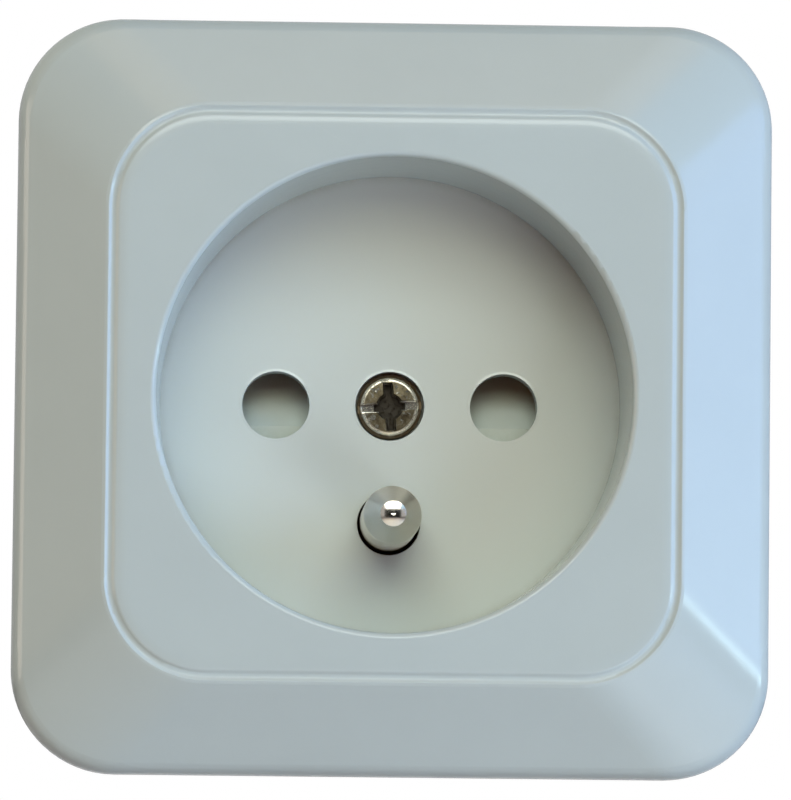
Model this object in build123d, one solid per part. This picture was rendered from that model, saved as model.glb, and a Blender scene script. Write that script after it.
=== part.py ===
from build123d import *
import math
import os

# A surface-mounted earthed wall socket for two round pins and an earth pin, 16 A.
# A one-piece moulded cover with a round well closes over a moulded base. The base holds two
# sprung pin contacts, an earth strip with its fixed pin, three screw terminals and, under the
# floor of the well, a sprung shutter that closes both pin holes.
# +Z is up and -Y is out of the wall. "Height" is always the distance off the wall.

# Well
well_depth = 15.0
well_mouth_diameter = 38.8
well_draft = 0.8              # degrees
well_mouth_round = 0.5
well_wall = 1.8
floor_thickness = 2.2

# Cover, outwards from the mouth of the well
panel_border = 4.1            # flat panel round the mouth
frame_width = 7.5             # sloping frame round the panel
corner_radius = 8.5
wall = 2.0
rim_drop = 4.8                # rim, measured back from the front panel
rim_round = 2.0
rim_band = 4.0                # straight band behind the rim
rim_back_round = 0.5
skirt_inset = 0.75            # skirt, in from the rim band
skirt_draft = 0.3             # degrees
skirt_lift = 0.3              # skirt edge, clear of the wall
rib_thickness = 1.2

# Groove around the panel, one smooth wave in section
panel_corner = 8.4
panel_rise = 0.15             # panel above the top of the sloping frame
panel_edge_round = 0.42
panel_crown_round = 4.0       # faint crown inside the edge of the panel
panel_crown_angle = 10.0      # degrees
groove_lip_round = 0.35
groove_valley_round = 0.38
groove_steepness = 42.0       # degrees, of the walls
frame_edge_round = 0.8

# Pin layout
pin_spacing = 19.0
pin_hole_diameter = 5.6
hole_round = 0.06
lip_width = 0.22              # raised lip round a hole
lip_height = 0.045
earth_offset = 9.65           # earth pin below the line of the pin holes
earth_diameter = 4.8
earth_root_diameter = 5.2     # at the flange; the hidden root tapers up to the floor of the well
earth_length = 14.0           # above the floor of the well
earth_hole_diameter = 5.25
earth_hole_drop = 0.15        # hole, below the line of the pin that stands in it

# Centre screw
thread_diameter = 3.0
screw_length = 14.0
head_diameter = 5.35
head_height = 1.9
head_dome = 0.35
head_edge_round = 0.55
head_hole_diameter = 5.75
head_recess = 0.35            # head, below the floor of the well
head_seat = 1.5
slot_width = 0.75
slot_depth = 0.7
cross_width = 0.9
cross_height = 4.1            # upright wings, tip to tip
cross_span = 2.9              # level wings, tip to tip
cross_core = 2.3              # round middle
cross_depth = 1.3
cross_draft = 10.0            # degrees
driver_turn = 5.0             # degrees, as the screw was left

# Shutter
shutter_thickness = 4.8
shutter_overlap = 0.45        # ramp above the pin hole when closed
open_clearance = 0.35         # ramp below the pin hole when open
ramp_edge_drop = 1.6          # front edge of the ramp, below the hole's centre
ramp_land = 0.4
blade_foot = 2.4              # blade, below the pin hole
window_margin = 0.25
outer_arm = 1.7
bridge_height = 2.2
shutter_corner = 1.2
slide_gap = 0.2

# Shutter springs
spring_length = 10.3
spring_diameter = 2.8
spring_wire = 0.4
spring_turns = 5.5
spring_end_gap = 0.05
spigot_diameter = 1.5
spigot_length = 1.2

# Contact cap
cap_thickness = 1.6
guide_gap = 0.25
rail_thickness = 1.5
spring_wall = 1.6
cap_corner = 2.0
cap_hole_clearance = 0.1
ear_radius = 3.5
ear_height = 11.3             # ears, above and below the line of the pin holes
window_clearance = 0.5        # cap's pin windows, round the pin holes

# Cap screws
cap_screw_diameter = 2.5
cap_screw_length = 8.0
cap_head_diameter = 4.8
cap_head_height = 1.7
cap_head_round = 0.85
cap_head_gap = 0.3
cap_boss_radius = 2.9
cap_boss_bore_depth = 8.8

# Base
base_gap = 0.25               # base, inside the skirt
base_thickness = 3.0
chamber_depth = 13.0
base_rim_height = 6.0
base_rim_thickness = 1.4
base_rim_clearance = 0.5      # rim notch, wider than the knock-out on each side
back_recess = 0.8
back_land = 3.0
pillar_radius = 3.9
pillar_bore_floor = 5.0
chamber_half = 4.1
chamber_wall = 1.2
terminal_height = 11.0
terminal_inset = 8.3          # terminals, in from the edge of the base
pedestal_half = 5.0
earth_pedestal_half = 4.5
pocket_gap = 0.1
bore_overrun = 1.0            # cutters, past the face that they break through
earth_block_gap = 2.0         # earth pedestal, below the centre pillar
pedestal_wall = 1.5
pedestal_core = 3.0           # depth of the hollow behind a terminal pedestal
ejector_inset = 8.2           # marks of the mould's pins in the back, in from the edge
ejector_diameter = 3.2
ejector_depth = 0.15

# Fixing slots and the cable ways
fixing_inset = 6.0            # slots, in from the edge of the base
fixing_slot_width = 4.4
fixing_slot_length = 7.0
knockout_width = 13.0
knockout_height = 14.0
knockout_corner = 3.0
score_width = 0.5
score_web = 0.8

# Pin contacts
sheet = 0.8
contact_bore_diameter = 4.6
contact_slot = 1.2
contact_top_gap = 0.4
mouth_height = 1.8
mouth_flare = 0.4
tail_width = 5.0
tab_width = 7.4
bend_round = 0.6              # at the middle of the sheet
ring_gap = 0.05
ring_thickness = 0.45
ring_height = 3.0
ring_drop = 2.4
ring_split = 1.6

# Screw terminals
terminal_thread = 3.5
terminal_screw_length = 8.0
terminal_head_diameter = 6.0
terminal_head_height = 2.0
terminal_head_edge = 0.25
terminal_slot_width = 0.9
terminal_slot_depth = 1.0
terminal_hole_clearance = 0.15
thread_gap = 0.03
nut_side = 5.5
nut_thickness = 2.4
clamp_side = 7.0
clamp_thickness = 1.2
clamp_groove_radius = 0.7
clamp_corner = 0.8

# Earth strip and pin
strip_thickness = 1.0
strip_width = 7.0
flange_diameter = 7.4
flange_thickness = 1.0
rivet_diameter = 3.2
rivet_head_diameter = 4.6
rivet_head_height = 0.8
tip_length = 3.0
tip_edge_round = 0.8
tip_diameter = 2.1
tip_dome = 0.2

# Threaded bush under the centre screw
bush_diameter = 5.0
bush_length = 8.0
bush_drop = 1.0
bush_waist = 0.4

# Heights off the wall that the sizes above give, stacked from the base to the front
cap_back = base_thickness + chamber_depth
cap_front = cap_back + cap_thickness
shutter_back = cap_front + slide_gap
shutter_front = shutter_back + shutter_thickness
floor_under = shutter_front + slide_gap
floor_top = floor_under + floor_thickness
depth = floor_top + well_depth
frame_top = depth - panel_rise
rim_height = depth - rim_drop
rim_back = rim_height - rim_band
head_under = floor_top - head_recess - head_height
pillar_top = head_under - head_seat
contact_top = cap_back - contact_top_gap
bush_top = pillar_top - bush_drop
bush_bottom = bush_top - bush_length
tab_top = terminal_height + sheet
strip_top = terminal_height + strip_thickness

# Places across the wall that the sizes above give
panel_side = well_mouth_diameter + 2 * panel_border
side = panel_side + 2 * frame_width
well_floor_diameter = well_mouth_diameter - 2 * well_depth * math.tan(math.radians(well_draft))
slope = (frame_top - rim_height) / frame_width
skirt_side = side - 2 * skirt_inset
skirt_foot_side = skirt_side + 2 * rim_back * math.tan(math.radians(skirt_draft))
skirt_corner = corner_radius - skirt_inset
base_side = skirt_foot_side - 2 * (wall + base_gap)
base_corner = skirt_corner - wall - base_gap
base_half = base_side / 2
fixing_x = base_half - fixing_inset
ejector_x = base_half - ejector_inset
terminal_z = base_half - terminal_inset
pin_x = pin_spacing / 2
hole_radius = pin_hole_diameter / 2
travel = pin_hole_diameter + shutter_overlap + open_clearance
window_half = hole_radius + window_margin
shutter_half = pin_x + window_half + outer_arm
shutter_top = pillar_radius + guide_gap + travel + bridge_height
blade_bottom = -(hole_radius + blade_foot)
spring_seat_z = blade_bottom - spring_length
rail_x = shutter_half + guide_gap + rail_thickness
cap_top_z = shutter_top + guide_gap + rail_thickness
cap_bottom_z = spring_seat_z - spring_wall
ear_x = rail_x + cap_head_gap + cap_head_diameter / 2
riser_z = terminal_z - pedestal_half - bend_round - sheet
contact_radius = contact_bore_diameter / 2 + sheet
tab_end_z = terminal_z + tab_width / 2
earth_block_top = -(pillar_radius + earth_block_gap)
earth_block_bottom = -(terminal_z + earth_pedestal_half)
spring_height = (shutter_front + shutter_back) / 2


def face_on(sketch, low, high):
    """Prism of a sketch drawn as seen from the front, between two heights off the wall."""
    return extrude(Plane.XZ.offset(low) * sketch, amount=high - low)


def turned(outline, x=0.0, z=0.0):
    """Solid turned about a line square to the wall, from an outline of (radius, height)."""
    plane = Plane(origin=(x, 0, z), x_dir=(1, 0, 0), z_dir=(0, 0, -1))
    return revolve(plane * make_face(outline), Axis((x, 0, z), (0, -1, 0)))


def post(radius, low, high, x=0.0, z=0.0):
    """Round post or bore square to the wall."""
    return face_on(Pos(x, z) * Circle(radius), low, high)


def block(width, height, low, high, x=0.0, z=0.0):
    """Rectangular block centred on x and z."""
    return face_on(Pos(x, z) * Rectangle(width, height), low, high)


def bent_sheet(points, width, thickness, bend):
    """Strip of sheet metal from the points (x, height, z) of its middle line."""
    path = FilletPolyline(*[(x, -height, z) for x, height, z in points], radius=bend)
    start = Plane(origin=path @ 0, x_dir=(1, 0, 0), z_dir=path % 0)
    return sweep(start * Rectangle(width, thickness), path)


def soft_bore(low_radius, high_radius, low, high, round_over, x=0.0, z=0.0):
    """Cutter for a hole whose front edge is rounded over."""
    side_line = Polyline((0, low), (low_radius, low), (high_radius, high - round_over))
    edge = JernArc(side_line @ 1, (0, 1), round_over, -90)
    clear = high + bore_overrun
    close = Polyline(edge @ 1, (high_radius + round_over, clear), (0, clear), (0, low))
    return turned(side_line + edge + close, x, z)


def section(width, radius, height):
    """Rounded square at one height off the wall."""
    return Plane.XZ.offset(height) * RectangleRounded(width, width, radius)


def skirt_width(height):
    """Width of the cover's skirt at one height off the wall."""
    return skirt_side + 2 * (rim_back - height) * math.tan(math.radians(skirt_draft))


def edges_at(shape, height):
    """Edges that lie in the plane at one height off the wall."""
    return shape.edges().filter_by_position(Axis.Y, -height - 0.001, -height + 0.001)


def outer_form():
    """Solid outer form of the cover: the skirt, the rim band and the sloping frame."""
    skirt = loft(
        [
            section(skirt_width(skirt_lift), skirt_corner, skirt_lift),
            section(skirt_side, skirt_corner, rim_back),
        ],
        ruled=True,
    )
    band = face_on(RectangleRounded(side, side, corner_radius), rim_back, rim_height)
    band = fillet(edges_at(band, rim_back), rim_back_round)
    frame = loft(
        [
            section(side, corner_radius, rim_height),
            section(panel_side, panel_corner, frame_top),
        ],
        ruled=True,
    )
    body = fillet(edges_at(band + frame, rim_height), rim_round)
    body = fillet(edges_at(body, frame_top), frame_edge_round)
    return skirt + body


def inner_space():
    """Space inside the cover's wall, up to the underside of the frame and the panel."""
    slant = wall * math.hypot(1, slope)
    shoulder = rim_height + (skirt_inset + wall) * slope - slant
    top = depth - wall
    top_side = side - 2 * (top - rim_height + slant) / slope
    inner_corner = skirt_corner - wall
    sections = [
        section(skirt_foot_side - 2 * wall, inner_corner, 0),
        section(skirt_width(shoulder) - 2 * wall, inner_corner, shoulder),
        section(top_side, panel_corner - wall, top),
    ]
    return loft(sections, ruled=True)


def groove():
    """Cutter for the groove round the panel: a lip, a valley and the edge of the panel."""
    steep = math.radians(groove_steepness)
    crown_drop = 1 - math.cos(math.radians(panel_crown_angle))
    lip_drop = 1 - math.cos(steep)
    edge_rise = panel_edge_round * (lip_drop - crown_drop) + panel_crown_round * crown_drop
    wall_rise = panel_rise + groove_lip_round * lip_drop - edge_rise
    lip = JernArc((0, frame_top), (1, 0), groove_lip_round, -groove_steepness)
    valley = JernArc(lip @ 1, lip % 1, groove_valley_round, 2 * groove_steepness)
    rise = Line(valley @ 1, valley @ 1 + (valley % 1) * (wall_rise / math.sin(steep)))
    edge = JernArc(rise @ 1, rise % 1, panel_edge_round, panel_crown_angle - groove_steepness)
    crown = JernArc(edge @ 1, edge % 1, panel_crown_round, -panel_crown_angle)
    inner_side = (crown @ 1).X
    clear = depth + bore_overrun
    close = Polyline(crown @ 1, (inner_side, clear), (0, clear), (0, frame_top))
    outline = make_face(lip + valley + rise + edge + crown + close)
    run = panel_side / 2 - panel_corner
    start = Plane(origin=(panel_side / 2, 0, -run), x_dir=(-1, 0, 0), z_dir=(0, 0, 1))
    end = Plane(origin=(panel_side / 2, 0, run), x_dir=(-1, 0, 0), z_dir=(0, 0, 1))
    quarter = extrude(start * outline, amount=2 * run)
    quarter += revolve(end * outline, Axis((run, 0, run), (0, -1, 0)), 90)
    return sum((Rot(0, 90 * turn, 0) * quarter for turn in range(1, 4)), quarter)


def hole_lip(radius, x=0.0):
    """Low flared lip round a hole in the floor of the well."""
    crest = floor_top + lip_height
    outline = Polyline(
        (0, floor_under),
        (radius + lip_width, floor_under),
        (radius + lip_width, floor_top),
        (radius, crest),
        (0, crest),
        close=True,
    )
    return turned(outline, x)


def knockout_scores():
    """Scored outlines of the cable knock-outs in the upper and lower sides of the skirt."""
    outline = RectangleRounded(knockout_width, 2 * knockout_height, knockout_corner)
    inner = RectangleRounded(
        knockout_width - 2 * score_width,
        2 * (knockout_height - score_width),
        knockout_corner - score_width,
    )
    score_floor = skirt_side / 2 - wall + score_web
    upper = extrude(Plane.XY.offset(score_floor) * (outline - inner), amount=wall)
    return upper + mirror(upper, Plane.XY)


def corner_ribs(cup_radius):
    """Stiffening ribs from the cup out to the four corners of the cover."""
    start = cup_radius - well_wall / 2
    length = side / math.sqrt(2) - start
    rib = block(length, rib_thickness, floor_top, depth, start + length / 2)
    return sum((Rot(0, angle, 0) * rib for angle in (45, 135, 225, 315)), Part())


def cover():
    """One moulding: skirt, sloping frame, front panel and the well with its floor."""
    space = inner_space()
    raised_side = panel_side - 2 * groove_lip_round
    raised = RectangleRounded(raised_side, raised_side, panel_corner - groove_lip_round)
    body = outer_form() + face_on(raised, rim_height, depth)
    body -= groove()
    body -= space
    cup_radius = well_mouth_diameter / 2 + well_wall
    body += post(cup_radius, floor_under, depth - wall / 2)
    body += post(pillar_radius, pillar_top, floor_top)
    body += corner_ribs(cup_radius) & space
    body -= soft_bore(
        well_floor_diameter / 2, well_mouth_diameter / 2, floor_top, depth, well_mouth_round
    )
    crest = floor_top + lip_height
    head_radius = head_hole_diameter / 2
    body += hole_lip(head_radius)
    body -= soft_bore(head_radius, head_radius, head_under, crest, hole_round)
    screw_clear = thread_diameter / 2 + terminal_hole_clearance
    body -= post(screw_clear, pillar_top, head_under)
    for x in (-pin_x, pin_x):
        body += hole_lip(hole_radius, x)
        body -= soft_bore(hole_radius, hole_radius, pillar_top, crest, hole_round, x)
    earth_radius = earth_hole_diameter / 2
    earth_hole_z = earth_offset + earth_hole_drop
    body -= soft_bore(
        earth_radius, earth_radius, pillar_top, floor_top, hole_round, 0, -earth_hole_z
    )
    return body - knockout_scores()


def base():
    outline = RectangleRounded(base_side, base_side, base_corner)
    inside_side = base_side - 2 * base_rim_thickness
    inside = RectangleRounded(inside_side, inside_side, base_corner - base_rim_thickness)
    body = face_on(outline, 0, base_thickness)
    rim = face_on(outline - inside, 0, base_rim_height)
    notch = knockout_width + 2 * base_rim_clearance
    body += rim - block(notch, 2 * base_side, base_thickness, base_rim_height)
    body += post(pillar_radius, 0, pillar_top)
    for x in (-pin_x, pin_x):
        body += contact_chamber(x) + terminal_pedestal(x)
    body += earth_pedestal()
    for side_sign in (-1, 1):
        x, z = side_sign * ear_x, side_sign * ear_height
        body += post(cap_boss_radius, 0, cap_back, x, z)
        bore = cap_screw_diameter / 2 + thread_gap
        body -= post(bore, cap_back - cap_boss_bore_depth, cap_back, x, z)
    body -= post(bush_diameter / 2, bush_bottom, pillar_top)
    screw_bore = thread_diameter / 2 + terminal_hole_clearance
    body -= post(screw_bore, pillar_bore_floor, bush_bottom)
    body -= rear_hollows()
    land_side = base_side - 2 * back_land
    land_corner = base_corner - back_land / 2
    body -= face_on(RectangleRounded(land_side, land_side, land_corner), 0, back_recess)
    body += post(pillar_radius, 0, base_thickness)
    mark_top = back_recess + ejector_depth
    for x in (-ejector_x, ejector_x):
        for z in (-ejector_x, ejector_x):
            body -= post(ejector_diameter / 2, back_recess, mark_top, x, z)
    pad = SlotOverall(fixing_slot_length + 2 * back_land, fixing_slot_width + 2 * back_land)
    slot = SlotOverall(fixing_slot_length, fixing_slot_width)
    for x in (-fixing_x, fixing_x):
        foot = face_on(Pos(x, 0) * pad, 0, base_thickness)
        body += foot & face_on(outline, 0, base_thickness)
        body -= face_on(Pos(x, 0) * slot, 0, base_rim_height)
    return body


def contact_chamber(x):
    """Square chamber round one pin contact, open towards its terminal for the tail."""
    outer = 2 * (chamber_half + chamber_wall)
    walls = block(outer, outer, 0, cap_back, x)
    walls -= block(2 * chamber_half, 2 * chamber_half, base_thickness, cap_back, x)
    gate = tail_width + 2 * pocket_gap
    gate_top = base_thickness + sheet + pocket_gap
    return walls - block(gate, outer, base_thickness, gate_top, x, outer / 2)


def screw_pocket(x, z, top, screw_tip):
    """Cutter for a captive square nut and the end of its screw, below a terminal."""
    nut_space = nut_side + 2 * pocket_gap
    pocket = block(nut_space, nut_space, top - nut_thickness, top, x, z)
    bore = terminal_thread / 2 + terminal_hole_clearance
    return pocket + post(bore, screw_tip - terminal_hole_clearance, top, x, z)


def screw_tip_under(tab_top):
    """Height of a terminal screw's end, from the top of the tab that it clamps to."""
    return tab_top + clamp_thickness - terminal_screw_length


def terminal_pedestal(x):
    """Block under a pin contact's terminal tab."""
    body = block(
        2 * pedestal_half, 2 * pedestal_half, 0, terminal_height, x, terminal_z
    )
    tip = screw_tip_under(tab_top)
    return body - screw_pocket(x, terminal_z, terminal_height, tip)


def earth_pedestal():
    """Long block under the earth strip, with the pocket for the pin's riveted end."""
    middle = (earth_block_top + earth_block_bottom) / 2
    height = earth_block_top - earth_block_bottom
    body = block(2 * earth_pedestal_half, height, 0, terminal_height, 0, middle)
    tip = screw_tip_under(strip_top)
    body -= screw_pocket(0, -terminal_z, terminal_height, tip)
    head_space = rivet_head_diameter / 2 + pocket_gap
    pocket_floor = terminal_height - rivet_head_height - pocket_gap
    return body - post(head_space, pocket_floor, terminal_height, 0, -earth_offset)


def rear_hollows():
    """Cutters for the hollows in the back of the base, behind the three pedestals."""
    core = 2 * (pedestal_half - pedestal_wall)
    core_width = 2 * (earth_pedestal_half - pedestal_wall)
    core_height = earth_block_top - earth_block_bottom - 2 * pedestal_wall
    middle = (earth_block_top + earth_block_bottom) / 2
    hollows = block(core_width, core_height, 0, pedestal_core, 0, middle)
    for x in (-pin_x, pin_x):
        hollows += block(core, core, 0, pedestal_core, x, terminal_z)
    return hollows


def contact_cap():
    """Plate over the contacts, with the frame that the shutter slides and springs in."""
    middle = (cap_top_z + cap_bottom_z) / 2
    outline = RectangleRounded(2 * rail_x, cap_top_z - cap_bottom_z, cap_corner)
    plate = Pos(0, middle) * outline
    for sign in (-1, 1):
        ear = Pos(sign * ear_x, sign * ear_height) * Circle(ear_radius)
        arm = Pos(sign * ear_x / 2, sign * ear_height) * Rectangle(ear_x, 2 * ear_radius)
        plate += ear + arm
    body = face_on(plate, cap_back, cap_front)
    body += face_on(Pos(0, middle) * outline, cap_front, shutter_front)
    run_top = shutter_top + guide_gap
    run_middle = (run_top + spring_seat_z) / 2
    run_width = 2 * (shutter_half + guide_gap)
    run_height = run_top - spring_seat_z
    body -= block(run_width, run_height, cap_front, shutter_front, 0, run_middle)
    for x in (-pin_x, pin_x):
        body -= post(hole_radius + window_clearance, cap_back, cap_front, x)
        seat = Plane.XY.offset(spring_seat_z) * Pos(x, -spring_height)
        body += extrude(seat * Circle(spigot_diameter / 2), amount=spigot_length)
    body -= post(pillar_radius + cap_hole_clearance, cap_back, cap_front)
    earth_clear = earth_root_diameter / 2 + cap_hole_clearance
    body -= post(earth_clear, cap_back, cap_front, 0, -earth_offset)
    screw_clear = cap_screw_diameter / 2 + cap_hole_clearance
    for sign in (-1, 1):
        body -= post(screw_clear, cap_back, cap_front, sign * ear_x, sign * ear_height)
    return body


def cap_screw(sign):
    x, z = sign * ear_x, sign * ear_height
    body = post(cap_screw_diameter / 2, cap_front - cap_screw_length, cap_front, x, z)
    head = post(cap_head_diameter / 2, cap_front, cap_front + cap_head_height, x, z)
    head = fillet(edges_at(head, cap_front + cap_head_height), cap_head_round)
    return body + head


def pin_contact(x):
    """Sheet-brass contact: a split sleeve with a flared mouth, a tail and a terminal tab."""
    middle = base_thickness + sheet / 2
    riser = riser_z + sheet / 2
    tab = terminal_height + sheet / 2
    points = [
        (x, middle, -contact_radius),
        (x, middle, riser),
        (x, tab, riser),
        (x, tab, tab_end_z),
    ]
    body = bent_sheet(points, tail_width, sheet, bend_round)
    body += block(tab_width, tab_width, terminal_height, tab_top, x, terminal_z)
    body -= post(
        terminal_thread / 2 + terminal_hole_clearance, terminal_height, tab_top, x, terminal_z
    )
    bore = contact_bore_diameter / 2
    foot = base_thickness + sheet
    mouth = contact_top - mouth_height
    sleeve = Polyline(
        (bore, foot),
        (contact_radius, foot),
        (contact_radius, mouth),
        (contact_radius + mouth_flare, contact_top),
        (bore + mouth_flare, contact_top),
        (bore, mouth),
        close=True,
    )
    slit_from = foot + contact_radius
    sleeve_body = turned(sleeve, x)
    length = 4 * contact_radius
    sleeve_body -= block(contact_slot, length, slit_from, contact_top, x)
    sleeve_body -= block(length, contact_slot, slit_from, contact_top, x)
    return body + sleeve_body


def contact_ring(x):
    """Split spring-steel ring round a contact's fingers."""
    inner = contact_radius + ring_gap
    top = contact_top - ring_drop
    ring = Circle(inner + ring_thickness) - Circle(inner)
    ring -= Pos(0, -inner) * Rectangle(ring_split, inner)
    return face_on(Pos(x, 0) * ring, top - ring_height, top)


def terminal_screw(x, z, tab_top):
    head_low = tab_top + clamp_thickness
    head_top = head_low + terminal_head_height
    head = post(terminal_head_diameter / 2, head_low, head_top, x, z)
    head = chamfer(edges_at(head, head_top), terminal_head_edge)
    slot_floor = head_top - terminal_slot_depth
    head -= block(
        terminal_slot_width, 2 * terminal_head_diameter, slot_floor, head_top, x, z
    )
    shank = post(terminal_thread / 2, screw_tip_under(tab_top), head_low, x, z)
    return head + shank


def clamp_plate(x, z, tab_top):
    """Square clamp plate with a groove for the wire on each side of the screw."""
    outline = Pos(x, z) * RectangleRounded(clamp_side, clamp_side, clamp_corner)
    body = face_on(outline, tab_top, tab_top + clamp_thickness)
    hole = terminal_thread / 2 + terminal_hole_clearance
    body -= post(hole, tab_top, tab_top + clamp_thickness, x, z)
    groove_x = (clamp_side / 2 + hole) / 2
    for sign in (-1, 1):
        centre = Plane.XY.offset(z - clamp_side) * Pos(x + sign * groove_x, -tab_top)
        body -= extrude(centre * Circle(clamp_groove_radius), amount=2 * clamp_side)
    return body


def terminal_nut(x, z):
    low = terminal_height - nut_thickness
    body = block(nut_side, nut_side, low, terminal_height, x, z)
    return body - post(terminal_thread / 2 + thread_gap, low, terminal_height, x, z)


def earth_pin():
    rivet_low = terminal_height - rivet_head_height
    flange_top = strip_top + flange_thickness
    pin = earth_diameter / 2
    end = floor_top + earth_length
    lower = Polyline(
        (0, end),
        (0, rivet_low),
        (rivet_head_diameter / 2, rivet_low),
        (rivet_head_diameter / 2, terminal_height),
        (rivet_diameter / 2, terminal_height),
        (rivet_diameter / 2, strip_top),
        (flange_diameter / 2, strip_top),
        (flange_diameter / 2, flange_top),
        (earth_root_diameter / 2, flange_top),
        (pin, floor_top),
        (pin, end - tip_length),
        (tip_diameter / 2, end - tip_dome),
    )
    dome = TangentArc(lower @ 0, lower @ 1, tangent=(1, 0))
    body = turned(lower + dome, 0, -earth_offset)
    return fillet(edges_at(body, end - tip_length), tip_edge_round)


def earth_strap():
    """Flat strip that joins the earth pin to its terminal."""
    end_z = -(terminal_z + tab_width / 2)
    top_z = -earth_offset
    strip = Pos(0, (end_z + top_z) / 2) * Rectangle(strip_width, top_z - end_z)
    strip += Pos(0, top_z) * Circle(strip_width / 2)
    strip -= Pos(0, -terminal_z) * Circle(terminal_thread / 2 + terminal_hole_clearance)
    strip -= Pos(0, top_z) * Circle(rivet_diameter / 2)
    return face_on(strip, terminal_height, terminal_height + strip_thickness)


def shutter():
    """One sliding yoke round the pillar, with a ramp and a window at each pin hole."""
    height = shutter_top - blade_bottom
    middle = (shutter_top + blade_bottom) / 2
    outline = Pos(0, middle) * RectangleRounded(2 * shutter_half, height, shutter_corner)
    slot_half = pillar_radius + guide_gap
    slot_top = slot_half + travel
    slot_height = slot_top - blade_bottom
    outline -= Pos(0, blade_bottom + slot_height / 2) * Rectangle(2 * slot_half, slot_height)
    body = face_on(outline, shutter_back, shutter_front)
    ramp = Polyline(
        (-ramp_edge_drop, shutter_front),
        (hole_radius + shutter_overlap, shutter_back + ramp_land),
        (hole_radius + shutter_overlap, shutter_back),
        (window_half + travel, shutter_back),
        (window_half + travel, shutter_front),
        close=True,
    )
    for x in (-pin_x, pin_x):
        across = Plane(origin=(x, 0, 0), x_dir=(0, 0, 1), z_dir=(1, 0, 0))
        body -= extrude(across * make_face(ramp), amount=window_half, both=True)
        spigot = Plane.XY.offset(blade_bottom - spigot_length) * Pos(x, -spring_height)
        body += extrude(spigot * Circle(spigot_diameter / 2), amount=spigot_length)
    return body


def shutter_spring(x):
    low = spring_seat_z + spring_end_gap
    length = spring_length - 2 * spring_end_gap - spring_wire
    radius = (spring_diameter - spring_wire) / 2
    path = Pos(x, -spring_height, low + spring_wire / 2) * Helix(
        length / spring_turns, length, radius
    )
    start = Plane(origin=path @ 0, z_dir=path % 0)
    return sweep(start * Circle(spring_wire / 2), path, is_frenet=True)


def centre_screw():
    """Domed screw with a slot and a tapered cross, turned a little from level."""
    head_top = head_under + head_height
    rim = Polyline(
        (0, head_top),
        (0, head_under),
        (head_diameter / 2, head_under),
        (head_diameter / 2, head_top - head_dome),
    )
    dome = TangentArc(rim @ 0, rim @ 1, tangent=(1, 0))
    head = fillet(edges_at(turned(rim + dome), head_top - head_dome), head_edge_round)
    body = head + post(thread_diameter / 2, head_under - screw_length, head_under)
    body -= block(2 * head_diameter, slot_width, head_top - slot_depth, head_top)
    cross = Rectangle(cross_span, cross_width) + Rectangle(cross_width, cross_height)
    cross += Circle(cross_core / 2)
    inwards = Plane(origin=(0, -head_top, 0), x_dir=(1, 0, 0), z_dir=(0, 1, 0))
    body -= extrude(inwards * cross, amount=cross_depth, taper=cross_draft)
    return Rot(0, -driver_turn, 0) * body


def centre_bush():
    """Threaded brass insert with a waist, pressed into the base's pillar."""
    outer = bush_diameter / 2
    body = post(outer, bush_bottom, bush_top)
    third = bush_length / 3
    waist = Circle(outer + bush_waist) - Circle(outer - bush_waist)
    body -= face_on(waist, bush_bottom + third, bush_top - third)
    return body - post(thread_diameter / 2 + thread_gap, bush_bottom, bush_top)


parts = {
    "cover": cover(),
    "base": base(),
    "contact_cap": contact_cap(),
    "earth_pin": earth_pin(),
    "earth_strap": earth_strap(),
    "shutter": shutter(),
    "centre_screw": centre_screw(),
    "centre_bush": centre_bush(),
}
for hand, sign in (("left", -1), ("right", 1)):
    parts[f"{hand}_cap_screw"] = cap_screw(sign)
    parts[f"{hand}_contact"] = pin_contact(sign * pin_x)
    parts[f"{hand}_contact_ring"] = contact_ring(sign * pin_x)
    parts[f"{hand}_shutter_spring"] = shutter_spring(sign * pin_x)
terminals = (
    ("left", -pin_x, terminal_z, tab_top),
    ("right", pin_x, terminal_z, tab_top),
    ("earth", 0, -terminal_z, strip_top),
)
for name, x, z, clamped in terminals:
    parts[f"{name}_clamp_plate"] = clamp_plate(x, z, clamped)
    parts[f"{name}_terminal_screw"] = terminal_screw(x, z, clamped)
    parts[f"{name}_terminal_nut"] = terminal_nut(x, z)

os.makedirs("parts", exist_ok=True)
for name, shape in parts.items():
    export_step(shape, f"parts/{name}.step")
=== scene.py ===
import math
import bpy
from mathutils import Matrix, Vector


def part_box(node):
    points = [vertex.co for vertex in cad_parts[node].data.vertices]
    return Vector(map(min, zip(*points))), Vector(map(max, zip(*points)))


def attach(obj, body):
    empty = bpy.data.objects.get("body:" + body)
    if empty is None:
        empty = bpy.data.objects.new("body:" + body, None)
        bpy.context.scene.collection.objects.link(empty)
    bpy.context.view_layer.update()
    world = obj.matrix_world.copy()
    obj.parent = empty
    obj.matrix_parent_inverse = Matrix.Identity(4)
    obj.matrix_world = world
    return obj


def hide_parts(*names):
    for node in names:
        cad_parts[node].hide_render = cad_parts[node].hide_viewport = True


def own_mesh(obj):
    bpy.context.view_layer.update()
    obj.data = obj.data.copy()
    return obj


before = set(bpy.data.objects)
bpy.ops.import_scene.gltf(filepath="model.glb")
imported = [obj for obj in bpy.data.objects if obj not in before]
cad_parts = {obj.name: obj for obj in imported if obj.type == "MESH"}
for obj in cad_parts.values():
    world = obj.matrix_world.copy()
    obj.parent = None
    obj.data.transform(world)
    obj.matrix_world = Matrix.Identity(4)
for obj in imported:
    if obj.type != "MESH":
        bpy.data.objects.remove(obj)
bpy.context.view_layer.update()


# The photograph's view. The socket hangs square in the frame, seen from a little below and a
# little to the left, from about half a metre away through a long lens.
view_point = Vector((-0.0159, -0.5800, -0.0379))
view_turn = math.radians(-1.69)
view_rise = math.radians(3.96)
view_tilt = math.radians(0.61)
lens_length, nearest_seen = 300.3, 0.05

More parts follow.
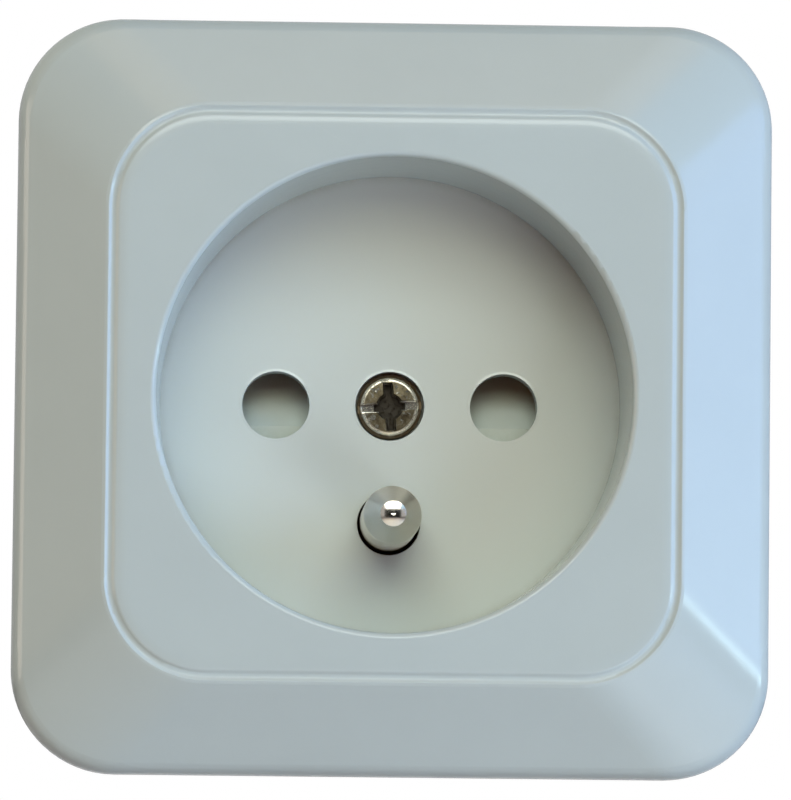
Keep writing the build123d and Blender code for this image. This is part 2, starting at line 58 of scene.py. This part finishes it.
photograph = bpy.data.objects.new("photograph", bpy.data.cameras.new("photograph"))
photograph.data.lens = lens_length
photograph.data.clip_start = nearest_seen
photograph.matrix_world = (
    Matrix.Translation(view_point)
    @ Matrix.Rotation(view_turn, 4, "Z")
    @ Matrix.Rotation(math.pi / 2 + view_rise, 4, "X")
    @ Matrix.Rotation(view_tilt, 4, "Z")
)
bpy.context.scene.collection.objects.link(photograph)
bpy.context.scene.camera = photograph
bpy.context.scene.view_settings.view_transform = "Standard"


# The studio. The room is white to the camera, grey in reflections and almost dark as a light.
# Wide soft lamps, tinted warm or cool, stand round the socket, and a black card in front of it
# darkens what the gloss mirrors. A floor of pale board lies well under it.
def join(tree, value, socket):
    """Feeds a shader socket from another one, or sets it to a plain value."""
    if isinstance(value, bpy.types.NodeSocket):
        tree.links.new(value, socket)
    else:
        socket.default_value = value


def place(tree, kind, **sockets):
    """Adds a shader node, or a group of nodes, and fills the inputs that are named."""
    grouped = isinstance(kind, bpy.types.NodeTree)
    node = tree.nodes.new("ShaderNodeGroup" if grouped else kind)
    if grouped:
        node.node_tree = kind
    for name, value in sockets.items():
        join(tree, value, node.inputs[name.replace("_", " ")])
    return node


def maths(tree, operation, *values):
    node = tree.nodes.new("ShaderNodeMath")
    node.operation = operation
    for value, socket in zip(values, node.inputs):
        join(tree, value, socket)
    return node.outputs[0]


def mixed(tree, share, first, second):
    """The first colour, with a share of the second one mixed in."""
    node = tree.nodes.new("ShaderNodeMix")
    node.data_type = "RGBA"
    share_socket, first_socket, second_socket = (node.inputs[i] for i in (0, 6, 7))
    join(tree, share, share_socket)
    join(tree, first, first_socket)
    join(tree, second, second_socket)
    return node.outputs[2]


def paint(red, green, blue):
    """A colour as it is read off a screen, from 0 to 255, as the shaders take it."""
    parts = [channel / 255 for channel in (red, green, blue)]
    return tuple(c / 12.92 if c < 0.04045 else ((c + 0.055) / 1.055) ** 2.4 for c in parts) + (1,)


def noise(tree, where, scale, detail=2.0, roughness=0.5):
    return place(
        tree, "ShaderNodeTexNoise", Vector=where, Scale=scale, Detail=detail, Roughness=roughness
    ).outputs[0]


def new_material(name):
    material = bpy.data.materials.new(name)
    material.use_nodes = True
    return material, material.node_tree, material.node_tree.nodes["Principled BSDF"]


def finish(tree, shader, **sockets):
    for name, value in sockets.items():
        join(tree, value, shader.inputs[name.replace("_", " ")])


def object_place(tree):
    return place(tree, "ShaderNodeTexCoord").outputs["Object"]


def lamp(name, azimuth, elevation, distance, width, height, power, colour, mirrored=True):
    """An area lamp aimed at the socket, placed by its angles as seen from the socket."""
    data = bpy.data.lights.new(name, "AREA")
    data.shape = "RECTANGLE"
    data.size, data.size_y = width, height
    data.energy = power
    data.color = colour
    a, e = math.radians(azimuth), math.radians(elevation)
    towards = Vector((math.sin(a) * math.cos(e), -math.cos(a) * math.cos(e), math.sin(e)))
    unit = bpy.data.objects.new(name, data)
    unit.location = towards * distance
    unit.rotation_euler = towards.to_track_quat("Z", "Y").to_euler()
    unit.visible_camera = False
    unit.visible_glossy = mirrored
    bpy.context.scene.collection.objects.link(unit)


def sheet_of(name, corners):
    """A flat four-cornered piece of the studio."""
    mesh = bpy.data.meshes.new(name)
    mesh.from_pydata(corners, [], [(0, 1, 2, 3)])
    piece = bpy.data.objects.new(name, mesh)
    bpy.context.scene.collection.objects.link(piece)
    return piece


room_light = (0.03, 0.03, 0.03, 1)
room_glow = (0.5, 0.5, 0.5, 1)
room_white = (1, 1, 1, 1)

room = bpy.data.worlds.new("room")
room.use_nodes = True
tree = room.node_tree
tree.nodes.clear()
seen = place(tree, "ShaderNodeLightPath").outputs
shown = maths(tree, "MAXIMUM", seen["Is Camera Ray"], seen["Is Transmission Ray"])
around = mixed(tree, seen["Is Glossy Ray"], room_light, room_glow)
light = place(tree, "ShaderNodeBackground", Color=mixed(tree, shown, around, room_white))
place(tree, "ShaderNodeOutputWorld", Surface=light.outputs[0])
bpy.context.scene.world = room

# Each lamp's name, angles, distance, width, height, watts, tint, and whether gloss mirrors it.
lamp("overhead", 0, 28, 1.1, 0.90, 0.36, 4.94, (0.942, 1.0, 0.929))
lamp("ceiling", 0, 58, 1.1, 0.90, 0.50, 1.60, (1.0, 0.729, 0.382))
lamp("camera side", 0, 14, 1.1, 0.50, 0.25, 2.45, (0.941, 1.0, 0.758), False)
lamp("upper right", 42, 32, 1.1, 0.60, 0.60, 0.89, (0.104, 0.550, 1.0))
lamp("window", 62, 10.2, 1.1, 0.80, 0.50, 4.25, (0.150, 0.410, 1.0))
lamp("left", -78, 5, 1.1, 0.40, 0.60, 2.15, (0.96, 0.803, 0.682))
lamp("bounce", 40, -35, 0.5, 0.35, 0.25, 1.56, (0.880, 0.946, 1.0), False)
lamp("warm fill", 0, -3, 1.2, 1.40, 1.00, 1.95, (1.0, 0.217, 0.0), False)
lamp("sill", 73, -4.9, 1.05, 0.50, 0.088, 1.50, (0.60, 0.90, 1.0))
lamp("back", 180, 25, 1.1, 0.90, 0.70, 7.0, (1.0, 1.0, 1.0), False)
lamp("back left", -130, 25, 1.1, 0.70, 0.70, 4.5, (1.0, 1.0, 1.0), False)
lamp("back right", 130, 25, 1.1, 0.70, 0.70, 4.5, (1.0, 1.0, 1.0), False)

card_half, card_low, card_high, card_distance = 0.75, -0.30, 0.45, -1.5
card = sheet_of("dark card", [
    (-card_half, card_distance, card_low),
    (card_half, card_distance, card_low),
    (card_half, card_distance, card_high),
    (-card_half, card_distance, card_high),
])
card.visible_camera = card.visible_diffuse = card.visible_shadow = False

black, tree, shader = new_material("black card")
felt = noise(tree, object_place(tree), 40.0)
finish(
    tree, shader,
    Base_Color=mixed(tree, felt, paint(8, 8, 8), paint(14, 14, 14)),
    Roughness=1.0,
    Specular_IOR_Level=0.0,
)
card.data.materials.append(black)

floor_half, floor_level = 2.0, -0.30
floor = sheet_of("floor", [
    (-floor_half, -floor_half, floor_level),
    (floor_half, -floor_half, floor_level),
    (floor_half, floor_half, floor_level),
    (-floor_half, floor_half, floor_level),
])
floor.visible_diffuse = False

unlit, floor_shown = (0, 0, 0, 1), (0.68, 0.68, 0.68, 1)

board, tree, shader = new_material("pale board")
tone = noise(tree, object_place(tree), 3.0, 3.0)
seen = place(tree, "ShaderNodeLightPath").outputs["Is Camera Ray"]
finish(
    tree, shader,
    Base_Color=mixed(tree, tone, paint(243, 243, 242), paint(246, 246, 245)),
    Emission_Color=mixed(tree, seen, unlit, floor_shown),
    Emission_Strength=1.0,
    Roughness=0.9,
)
floor.data.materials.append(board)


# The base and the contact cap are moulded in a pale grey thermoset, hard and matt, with the
# fine spark grain of the mould on every face. They take their looks from one moulding finish.
def node_group(name, inputs, outputs):
    """An empty group: its tree, the sockets that it is given and the ones that it puts out."""
    tree = bpy.data.node_groups.new(name, "ShaderNodeTree")
    for label, value in inputs.items():
        kind = "NodeSocketVector" if isinstance(value, tuple) else "NodeSocketFloat"
        socket = tree.interface.new_socket(label, in_out="INPUT", socket_type=kind)
        socket.default_value = value
    for label in outputs:
        tree.interface.new_socket(label, in_out="OUTPUT", socket_type="NodeSocketFloat")
    return tree, place(tree, "NodeGroupInput").outputs, place(tree, "NodeGroupOutput").inputs


def span(tree, value, low, high, to_low=0.0, to_high=1.0):
    """A value drawn out from one range to another and held inside it."""
    return place(
        tree, "ShaderNodeMapRange",
        Value=value, From_Min=low, From_Max=high, To_Min=to_low, To_Max=to_high,
    ).outputs[0]


def relief(tree, height, distance):
    """The normal of a surface whose height varies by a distance in metres."""
    return place(tree, "ShaderNodeBump", Height=height, Distance=distance).outputs[0]


def dress(material, *names):
    for name in names:
        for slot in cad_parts[name].material_slots:
            slot.material = material


# Moulded skin: the long low waves that any moulding has, the grain of its mould, cloudy
# colour, and hairline scuffs that run three ways.
cloud_scale, scuff_patch_scale = 95.0, 160.0
scuff_runs = ((0.5, 0.0055, 0.00007), (1.4, 0.0040, 0.00006), (2.5, 0.0048, 0.00008))

moulded_skin, given, out = node_group(
    "moulded skin",
    {"Wave": 700.0, "Grain": 7000.0, "Grain depth": 0.2, "Scuffs": 0.1},
    ("Height", "Cloud", "Speckle", "Scuffed"),
)
spot = object_place(moulded_skin)
wave = noise(moulded_skin, spot, given["Wave"], 1.0)
grain = noise(moulded_skin, spot, given["Grain"], 2.0, 0.7)
raised = maths(moulded_skin, "MULTIPLY_ADD", grain, given["Grain depth"], wave)
join(moulded_skin, raised, out["Height"])
cloud = noise(moulded_skin, spot, cloud_scale, 3.0, 0.6)
join(moulded_skin, span(moulded_skin, cloud, 0.35, 0.65), out["Cloud"])
join(moulded_skin, span(moulded_skin, grain, 0.3, 0.7), out["Speckle"])
scuffed = 0.0
for turn, length, width in scuff_runs:
    turned = place(
        moulded_skin, "ShaderNodeMapping",
        Vector=spot, Rotation=(0.0, turn, 0.0), Scale=(length, width, width),
    )
    turned.vector_type = "TEXTURE"
    line = span(moulded_skin, noise(moulded_skin, turned.outputs[0], 1.0, 1.0), 0.73, 0.78)
    scuffed = maths(moulded_skin, "MAXIMUM", line, scuffed)
patch = span(moulded_skin, noise(moulded_skin, spot, scuff_patch_scale, 2.0), 0.45, 0.7)
worn = maths(moulded_skin, "MULTIPLY", scuffed, patch)
worn = maths(moulded_skin, "MULTIPLY", worn, given["Scuffs"])
join(moulded_skin, worn, out["Scuffed"])

# Settled dust: what gathers where two faces meet, patchy like the real thing.
dust_patch_scale = 420.0

settled_dust, given, out = node_group("settled dust", {"Reach": 0.001, "Amount": 1.0}, ("Dust",))
spot = object_place(settled_dust)
open_sky = place(settled_dust, "ShaderNodeAmbientOcclusion", Distance=given["Reach"])
corner = span(settled_dust, open_sky.outputs["AO"], 0.85, 0.35)
patchy = noise(settled_dust, spot, dust_patch_scale, 4.0, 0.65)
patchy = span(settled_dust, patchy, 0.35, 0.65, 0.35, 1.0)
dusty = maths(settled_dust, "MULTIPLY", corner, patchy)
dusty = maths(settled_dust, "MULTIPLY", dusty, given["Amount"])
join(settled_dust, dusty, out["Dust"])

grey_pale, grey_deep = paint(186, 193, 192), paint(176, 184, 183)
grey_scuff, grey_dust = paint(206, 209, 206), paint(128, 124, 112)

grey_moulding, tree, shader = new_material("grey moulding")
skin = place(tree, moulded_skin, Wave=500.0, Grain=5200.0, Grain_depth=0.9, Scuffs=0.5).outputs
dust = place(tree, settled_dust, Reach=0.0016, Amount=0.7).outputs["Dust"]
colour = mixed(tree, skin["Cloud"], grey_pale, grey_deep)
colour = mixed(tree, skin["Scuffed"], colour, grey_scuff)
finish(
    tree, shader,
    Base_Color=mixed(tree, dust, colour, grey_dust),
    Roughness=span(tree, skin["Speckle"], 0.0, 1.0, 0.48, 0.62),
    Normal=relief(tree, skin["Height"], 0.00003),
)
dress(grey_moulding, "base", "contact_cap")


# The contacts, the earth strap and the terminal nuts are stamped and cut from brass. It goes
# dull and brown in the hand, first in spots and where the pieces touch.
tarnish, given, out = node_group(
    "tarnish", {"Patch": 600.0, "Spread": 0.5, "Reach": 0.0012}, ("Dull", "Spots", "Height")
)
spot = object_place(tarnish)
patches = noise(tarnish, spot, given["Patch"], 5.0, 0.62)
open_sky = place(tarnish, "ShaderNodeAmbientOcclusion", Distance=given["Reach"])
corner = span(tarnish, open_sky.outputs["AO"], 0.9, 0.3, 0.0, 0.6)
reached = maths(tarnish, "ADD", maths(tarnish, "ADD", patches, corner), given["Spread"])
join(tarnish, span(tarnish, reached, 0.9, 1.25), out["Dull"])
pit_scale = maths(tarnish, "MULTIPLY", given["Patch"], 5.0)
pits = place(tarnish, "ShaderNodeTexVoronoi", Vector=spot, Scale=pit_scale).outputs["Distance"]
join(tarnish, span(tarnish, pits, 0.28, 0.12), out["Spots"])
pitted = span(tarnish, pits, 0.3, 0.1, 0.0, 0.5)
join(tarnish, maths(tarnish, "SUBTRACT", patches, pitted), out["Height"])

brass_bright, brass_dull = paint(212, 176, 104), paint(138, 98, 52)

brass, tree, shader = new_material("brass")
age = place(tree, tarnish, Patch=420.0, Spread=0.38).outputs
drawn = place(
    tree, "ShaderNodeMapping", Vector=object_place(tree), Scale=(1400.0, 9000.0, 180.0)
).outputs[0]
lines = noise(tree, drawn, 1.0, 2.0)
finish(
    tree, shader,
    Base_Color=mixed(tree, age["Dull"], brass_bright, brass_dull),
    Metallic=1.0,
    Roughness=maths(tree, "MULTIPLY_ADD", age["Dull"], 0.22, span(tree, lines, 0.3, 0.7, 0.2, 0.3)),
    Normal=relief(tree, maths(tree, "ADD", lines, age["Height"]), 0.000012),
)
dress(
    brass, "left_contact", "right_contact", "earth_strap", "centre_bush",
    "left_terminal_nut", "right_terminal_nut", "earth_terminal_nut",
)


# The clamp plates and the terminal and cap screws are steel, zinc plated and passivated, so
# they are bright and a little blue, with a thin straw tint that comes and goes.
zinc_blue, zinc_straw = paint(186, 190, 198), paint(190, 184, 160)
zinc_white = paint(206, 206, 202)

zinc, tree, shader = new_material("zinc plate")
age = place(tree, tarnish, Patch=900.0, Spread=0.3).outputs
tint = span(tree, noise(tree, object_place(tree), 260.0, 2.0), 0.4, 0.62)
colour = mixed(tree, tint, zinc_blue, zinc_straw)
finish(
    tree, shader,
    Base_Color=mixed(tree, age["Spots"], colour, zinc_white),
    Metallic=1.0,
    Roughness=maths(tree, "MULTIPLY_ADD", age["Dull"], 0.2, 0.24),
    Normal=relief(tree, age["Height"], 0.00001),
)
dress(
    zinc, "left_cap_screw", "right_cap_screw", "left_clamp_plate", "right_clamp_plate",
    "earth_clamp_plate", "left_terminal_screw", "right_terminal_screw", "earth_terminal_screw",
)


# The contact rings and the shutter springs are plain spring steel, dark from the heat, drawn
# to a fine lengthwise grain. The springs are coiled wire, and shorten as the shutter comes down.
steel_dark, steel_bright = paint(112, 112, 116), paint(166, 166, 168)

spring_steel, tree, shader = new_material("spring steel")
age = place(tree, tarnish, Patch=1300.0, Spread=0.35).outputs
fine = noise(tree, object_place(tree), 9000.0, 2.0)
finish(
    tree, shader,
    Base_Color=mixed(tree, age["Dull"], steel_bright, steel_dark),
    Metallic=1.0,
    Roughness=span(tree, fine, 0.3, 0.7, 0.26, 0.42),
    Normal=relief(tree, fine, 0.000008),
)
dress(
    spring_steel, "left_contact_ring", "right_contact_ring",
    "left_shutter_spring", "right_shutter_spring",
)

for hand in ("left", "right"):
    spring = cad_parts[hand + "_shutter_spring"]
    coil = bpy.data.objects.new(hand + "_shutter_coil", spring.data.copy())
    coil.matrix_world = spring.matrix_world
    coil.data.materials.clear()
    coil.data.materials.append(spring_steel)
    bpy.context.scene.collection.objects.link(coil)
    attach(coil, "housing")
    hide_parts(spring.name)
    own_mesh(coil)


# The earth pin is turned from brass bar and nickel plated. Rings of the tool still show under
# the plating and plugs have rubbed lines along it. Its foot is painted brown and dull, partly
# old grime and partly painted shade where the pin meets the floor of the well.
turned_marks, given, out = node_group(
    "turned marks", {"Centre": (0.0, 0.0, 0.0), "Rings": 9000.0}, ("Height", "Radius", "Along")
)
offset = place(turned_marks, "ShaderNodeVectorMath")
offset.operation = "SUBTRACT"
join(turned_marks, object_place(turned_marks), offset.inputs[0])
join(turned_marks, given["Centre"], offset.inputs[1])
parts = place(turned_marks, "ShaderNodeSeparateXYZ", Vector=offset.outputs[0]).outputs
across = place(turned_marks, "ShaderNodeCombineXYZ", X=parts["X"], Z=parts["Z"])
reach = place(turned_marks, "ShaderNodeVectorMath")
reach.operation = "LENGTH"
join(turned_marks, across.outputs[0], reach.inputs[0])
radius = reach.outputs["Value"]
ring = place(turned_marks, "ShaderNodeTexNoise", Detail=3.0)
ring.noise_dimensions = "1D"
step = maths(turned_marks, "SUBTRACT", radius, parts["Y"])
join(turned_marks, maths(turned_marks, "MULTIPLY", step, given["Rings"]), ring.inputs["W"])
join(turned_marks, ring.outputs[0], out["Height"])
join(turned_marks, radius, out["Radius"])
join(turned_marks, parts["Y"], out["Along"])

pin_nickel, pin_worn = paint(222, 214, 202), paint(204, 190, 164)
# the brown of the foot is partly old grime and partly painted shade
pin_grime_and_shade = paint(112, 88, 60)
pin_centre = (0.0, 0.0, -0.00965)
pin_foot, pin_clean = 0.0240, 0.0290
tip_radius = 0.00105

pin_plate, tree, shader = new_material("earth pin nickel")
marks = place(tree, turned_marks, Centre=pin_centre, Rings=7000.0).outputs
age = place(tree, tarnish, Patch=220.0, Spread=0.30).outputs
out_of_wall = maths(tree, "MULTIPLY", marks["Along"], -1.0)
rubbed = place(
    tree, "ShaderNodeMapping", Vector=object_place(tree), Scale=(1100.0, 150.0, 1100.0)
).outputs[0]
rubs = span(tree, noise(tree, rubbed, 1.0, 2.0), 0.4, 0.7, 0.28, 0.33)
# partly old grime, partly painted shade: brown and less metallic towards the pin's foot
foot = span(tree, out_of_wall, pin_clean, pin_foot)
patchy = span(tree, noise(tree, object_place(tree), 900.0, 4.0), 0.3, 0.6, 0.5, 1.0)
grime_and_shade = maths(tree, "MULTIPLY", foot, patchy)
colour = mixed(tree, age["Dull"], pin_nickel, pin_worn)
cone = span(tree, marks["Radius"], tip_radius * 0.97, tip_radius * 1.03, 0.5, 1.0)
finish(
    tree, shader,
    Base_Color=mixed(tree, grime_and_shade, colour, pin_grime_and_shade),
    Metallic=span(tree, grime_and_shade, 0.0, 1.0, 1.0, 0.15),
    Roughness=maths(tree, "MULTIPLY_ADD", grime_and_shade, 0.25, maths(tree, "MULTIPLY", rubs, cone)),
    Normal=relief(tree, marks["Height"], 0.0000012),
)
dress(pin_plate, "earth_pin")


# The shutter slides behind the floor of the well and closes both pin holes. It is moulded in a
# greenish grey that plugs have polished along the ramps.
shutter_pale, shutter_deep = paint(190, 201, 198), paint(180, 192, 189)
shutter_dust = paint(120, 116, 86)

shutter_moulding, tree, shader = new_material("shutter moulding")
skin = place(tree, moulded_skin, Wave=900.0, Grain=6500.0, Grain_depth=0.5, Scuffs=0.8).outputs
dust = place(tree, settled_dust, Reach=0.0022, Amount=0.35).outputs["Dust"]
colour = mixed(tree, skin["Cloud"], shutter_pale, shutter_deep)
finish(
    tree, shader,
    Base_Color=mixed(tree, dust, colour, shutter_dust),
    Roughness=span(tree, skin["Speckle"], 0.0, 1.0, 0.30, 0.40),
    Normal=relief(tree, skin["Height"], 0.00002),
)
dress(shutter_moulding, "shutter")


# The cover is one moulding in a glossy pale blue-grey: skirt, sloping frame, panel and well.
# It has the faint waves and hairline scuffs of a handled moulding, and dust in its groove. The
# well is painted paler than the rest: painted light, standing in for the brightness inside it.
cover_pale, cover_deep = paint(178, 190, 193), paint(176, 188, 191)
well_painted_light = paint(196, 205, 204)
well_outer, well_inner = 0.0201, 0.0195
mouth_front, mouth_back = -0.0399, -0.0392
cover_scuff, cover_dust = paint(196, 204, 205), paint(142, 142, 130)

cover_moulding, tree, shader = new_material("cover moulding")
skin = place(tree, moulded_skin, Wave=480.0, Grain=7000.0, Grain_depth=0.06, Scuffs=0.25).outputs
dust = place(tree, settled_dust, Reach=0.0011, Amount=0.45).outputs["Dust"]
marks = place(tree, turned_marks).outputs
# painted light: where the inside of the well is painted paler
well_painted_light_share = maths(
    tree, "MULTIPLY",
    span(tree, marks["Radius"], well_outer, well_inner),
    span(tree, marks["Along"], mouth_front, mouth_back),
)
colour = mixed(tree, skin["Cloud"], cover_pale, cover_deep)
# painted light: the well painted paler than the rest of the cover
colour = mixed(tree, well_painted_light_share, colour, well_painted_light)
colour = mixed(tree, skin["Scuffed"], colour, cover_scuff)
gloss = span(tree, skin["Speckle"], 0.0, 1.0, 0.15, 0.18)
finish(
    tree, shader,
    Base_Color=mixed(tree, dust, colour, cover_dust),
    Roughness=maths(tree, "MULTIPLY_ADD", skin["Scuffed"], 0.3, gloss),
    Normal=relief(tree, skin["Height"], 0.000009),
)
dress(cover_moulding, "cover")


# The centre screw holds the cover on. Its domed head is nickel plated steel, gone brown and
# pitted. Bright metal is left along its edge and in the shallow slots where the driver rubs.
# The ring round the head is painted brown, partly tarnish and partly painted shade from the
# hole, and the cross is painted dark with painted shade, darker the deeper it goes.
def band(tree, value, low, high, soft):
    """One between two values and nothing outside them, with soft edges."""
    return maths(
        tree, "MULTIPLY",
        span(tree, value, low - soft, low), span(tree, value, high + soft, high),
    )


# the darkest colour serves both the pits and the painted shade in the cross
screw_nickel, screw_brown, screw_pits_and_shade = paint(122, 111, 88), paint(62, 51, 34), paint(46, 39, 27)
screw_edge, screw_bright = paint(212, 204, 184), paint(244, 240, 228)
screw_rim_tarnish_and_shade = paint(124, 106, 80)
screw_top = -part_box("centre_screw")[0][1]
edge_inner, edge_outer, head_edge = 0.00216, 0.00238, 0.00262
slot_top, slot_bottom, slot_half = 0.00060, 0.00080, 0.00045
mask_soft, arm_soft, slot_end = 0.00006, 0.0001, 0.94
cross_wall, cross_floor = 0.0009, 0.0012

screw_plate, tree, shader = new_material("centre screw nickel")
marks = place(tree, turned_marks, Rings=11000.0).outputs
age = place(tree, tarnish, Patch=1700.0, Spread=0.52, Reach=0.0006).outputs
spot = place(tree, "ShaderNodeSeparateXYZ", Vector=object_place(tree)).outputs
off_arm = maths(
    tree, "MINIMUM", maths(tree, "ABSOLUTE", spot["X"]), maths(tree, "ABSOLUTE", spot["Z"])
)
sunk = maths(tree, "ADD", marks["Along"], screw_top)
# painted shade: the cross is painted darker the deeper it goes
deep_shade = span(tree, sunk, cross_wall, cross_floor)
# the ring round the head, painted brown: partly tarnish, partly painted shade from the hole
rim_tarnish_and_shade = span(tree, marks["Radius"], edge_outer, head_edge)
edge = band(tree, marks["Radius"], edge_inner, edge_outer, mask_soft)
slot = maths(
    tree, "MULTIPLY",
    band(tree, sunk, slot_top, slot_bottom, mask_soft),
    band(tree, off_arm, -slot_half, slot_half, arm_soft),
)
worn = maths(
    tree, "MULTIPLY", slot,
    span(tree, marks["Radius"], head_edge * slot_end, edge_outer * slot_end),
)
rubbed = span(tree, noise(tree, object_place(tree), 3000.0, 4.0, 0.7), 0.54, 0.64)
shiny = maths(tree, "MAXIMUM", worn, edge)
# the painted shade in the cross and the brown ring also make the metal less metallic there
grime_and_shade = maths(tree, "MAXIMUM", deep_shade, rim_tarnish_and_shade)
colour = mixed(tree, age["Dull"], screw_nickel, screw_brown)
colour = mixed(tree, maths(tree, "MULTIPLY", rubbed, 0.35), colour, screw_bright)
colour = mixed(tree, age["Spots"], colour, screw_pits_and_shade)
# painted shade: dark in the cross, and the ring painted brown for tarnish and shade
colour = mixed(tree, rim_tarnish_and_shade, mixed(tree, deep_shade, colour, screw_pits_and_shade), screw_rim_tarnish_and_shade)
colour = mixed(tree, edge, colour, screw_edge)
pitted = maths(tree, "ADD", age["Height"], rubbed)
pitted = maths(tree, "MULTIPLY", pitted, span(tree, worn, 1.0, 0.0))
finish(
    tree, shader,
    Base_Color=mixed(tree, worn, colour, screw_bright),
    Metallic=span(tree, grime_and_shade, 0.0, 1.0, 0.9, 0.3),
    Roughness=span(tree, maths(tree, "MAXIMUM", shiny, rubbed), 0.0, 1.0, 0.46, 0.20),
    Normal=relief(tree, pitted, 0.00003),
)
dress(screw_plate, "centre_screw")
